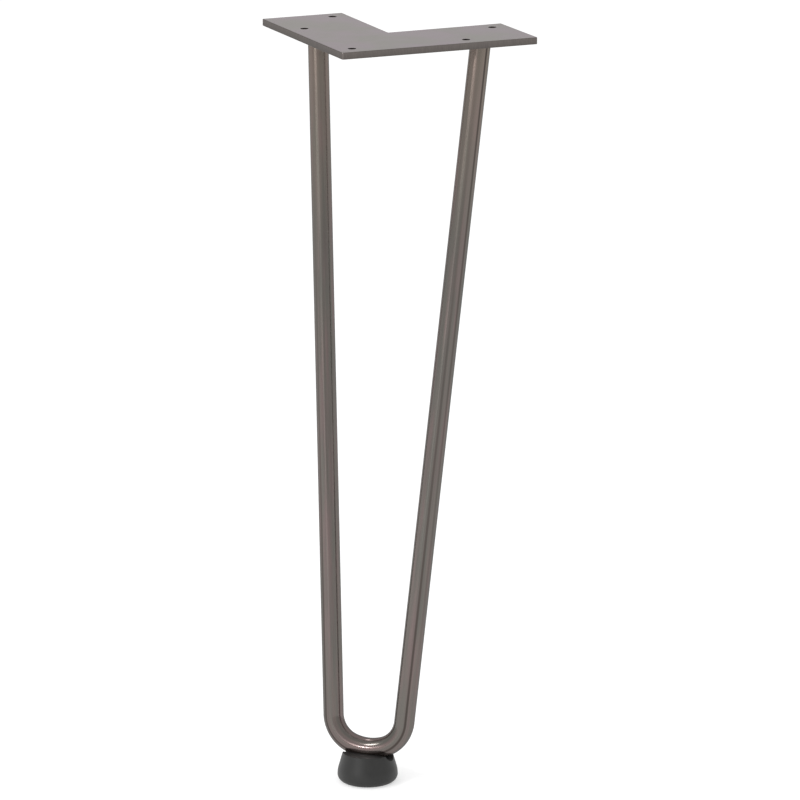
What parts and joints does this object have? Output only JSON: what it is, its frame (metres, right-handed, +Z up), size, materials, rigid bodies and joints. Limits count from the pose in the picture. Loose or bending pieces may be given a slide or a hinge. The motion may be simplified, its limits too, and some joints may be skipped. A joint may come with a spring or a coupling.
{
  "type": "hairpin table leg",
  "caption": "Hairpin table leg: a round steel bar bent to a narrow U and welded under an L-shaped screw plate, standing on a round plastic foot.",
  "frame": {"origin": "middle of the foot's underside, on the floor", "axes": "+Z up to the table top, +X along the line between the two arms of the rod, +Y along the plate's diagonal from its outer corner towards the middle of the table"},
  "size_m": [0.169, 0.1193, 0.438],
  "materials": {
    "plate_steel": "raw hot rolled sheet under clear lacquer",
    "rod_steel": "raw drawn bar under clear lacquer",
    "weld_metal": "weld bead under clear lacquer",
    "foot_plastic": "moulded, satin"
  },
  "bodies": {
    "root": {"mounting_plate": "plate_steel", "hairpin_rod": "rod_steel", "weld_bead_left": "weld_metal", "weld_bead_right": "weld_metal", "foot": "foot_plastic"}
  },
  "joints": []
}
